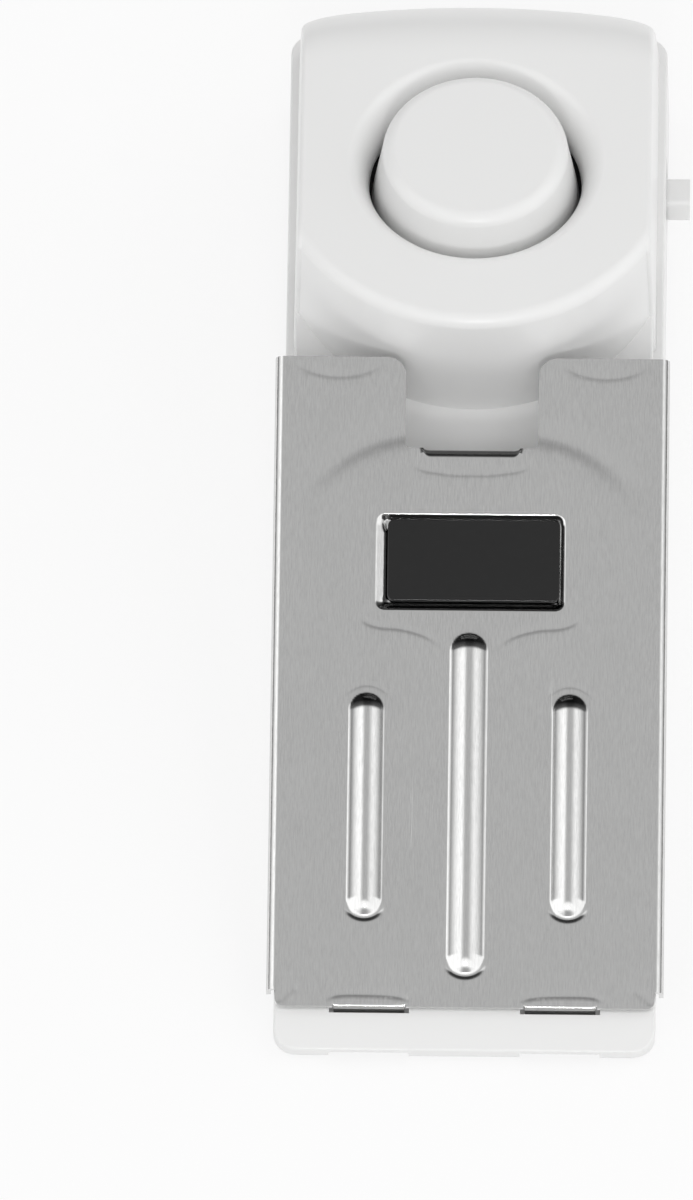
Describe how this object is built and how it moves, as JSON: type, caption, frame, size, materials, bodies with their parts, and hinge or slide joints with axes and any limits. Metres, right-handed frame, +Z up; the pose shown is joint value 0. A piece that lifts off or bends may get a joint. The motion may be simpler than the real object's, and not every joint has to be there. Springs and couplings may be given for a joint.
{
  "type": "door stop alarm",
  "caption": "Wedge door stop alarm with a sprung steel contact plate, a raised siren head, a side slide switch and a battery bay under a sliding door.",
  "frame": {"origin": "middle of the underside on the plane of the grip pads' lower faces, halfway along the wedge", "axes": "+X to the side with the slide switch, +Y from the nose to the siren head, +Z up"},
  "size_m": [0.0493, 0.144, 0.0391],
  "materials": {
    "white_plastic": "satin moulded, off white",
    "stainless_sheet": "pressed sheet, half polished, fine lengthwise grain",
    "black_gloss": "glossy black, bare",
    "spring_steel": "drawn wire and thin strip",
    "zinc_steel": "zinc plated",
    "brass_disc": "rolled sheet",
    "piezo_ceramic": "fired, silvered",
    "dark_foam": "closed cell foam",
    "grey_rubber": "matt, fine texture",
    "black_plastic": "matt black",
    "red_plastic": "red",
    "green_board": "solder mask over glass laminate",
    "copper_enamel": "enamelled copper wire on a ferrite bobbin",
    "battery_jacket": "dark, bare"
  },
  "bodies": {
    "root": {"lower_shell": "white_plastic", "upper_shell": "white_plastic", "return_spring": "spring_steel", "siren_cap": "white_plastic", "siren_gasket": "dark_foam", "piezo_disc": "brass_disc", "piezo_ceramic": "piezo_ceramic", "piezo_holder": "black_plastic", "housing_screw_1": "zinc_steel", "housing_screw_2": "zinc_steel", "housing_screw_3": "zinc_steel", "housing_screw_4": "zinc_steel", "holder_screw_1": "zinc_steel", "holder_screw_2": "zinc_steel", "battery": "battery_jacket", "battery_terminal_positive": "zinc_steel", "battery_terminal_negative": "zinc_steel", "battery_snap": "black_plastic", "battery_foam": "dark_foam", "grip_pad_front": "grey_rubber", "grip_pad_left": "grey_rubber", "grip_pad_right": "grey_rubber", "slide_switch_body": "black_plastic", "circuit_board": "green_board", "board_screw_1": "zinc_steel", "board_screw_2": "zinc_steel", "trigger_switch_body": "black_plastic", "controller_chip": "black_plastic", "boost_coil": "copper_enamel", "capacitor": "battery_jacket", "siren_transistor": "black_plastic", "battery_wire_red": "red_plastic", "battery_wire_black": "black_plastic", "siren_wire_red": "red_plastic", "siren_wire_black": "black_plastic", "switch_wire_inner": "black_plastic", "switch_wire_outer": "red_plastic"},
    "plate": {"contact_plate": "stainless_sheet", "name_plate": "black_gloss"},
    "trigger_lever": {"trigger_switch_lever": "spring_steel"},
    "trigger_button": {"trigger_switch_button": "red_plastic"},
    "switch_knob": {"slide_switch_knob": "white_plastic"},
    "door": {"battery_door": "white_plastic"}
  },
  "joints": [
    {"name": "plate_hinge", "type": "hinge", "parent": "root", "child": "plate", "pos_m": [0, -0.06682, 0.0032], "axis": [1, 0, 0], "range_deg": [-3, 0], "stiffness_Nm_per_rad": 0.9, "springref_deg": 6.3, "deforming": ["return_spring"]},
    {"name": "trigger_lever_hinge", "type": "hinge", "parent": "root", "child": "trigger_lever", "pos_m": [0, -0.00851, 0.0119], "axis": [1, 0, 0], "range_deg": [-20, 0]},
    {"name": "trigger_button_travel", "type": "slide", "parent": "root", "child": "trigger_button", "axis": [0, 0, 1], "range_m": [-0.0009, 0]},
    {"name": "switch_slide", "type": "slide", "parent": "root", "child": "switch_knob", "axis": [0, 1, 0], "range_m": [0, 0.003]},
    {"name": "door_slide", "type": "slide", "parent": "root", "child": "door", "axis": [0, 1, 0], "range_m": [0, 0.06]}
  ],
  "couplings": [
    {"joint": "trigger_lever_hinge", "follows": "plate_hinge", "ratio": 6.6},
    {"joint": "trigger_button_travel", "follows": "plate_hinge", "m_per_rad": 0.0171}
  ]
}
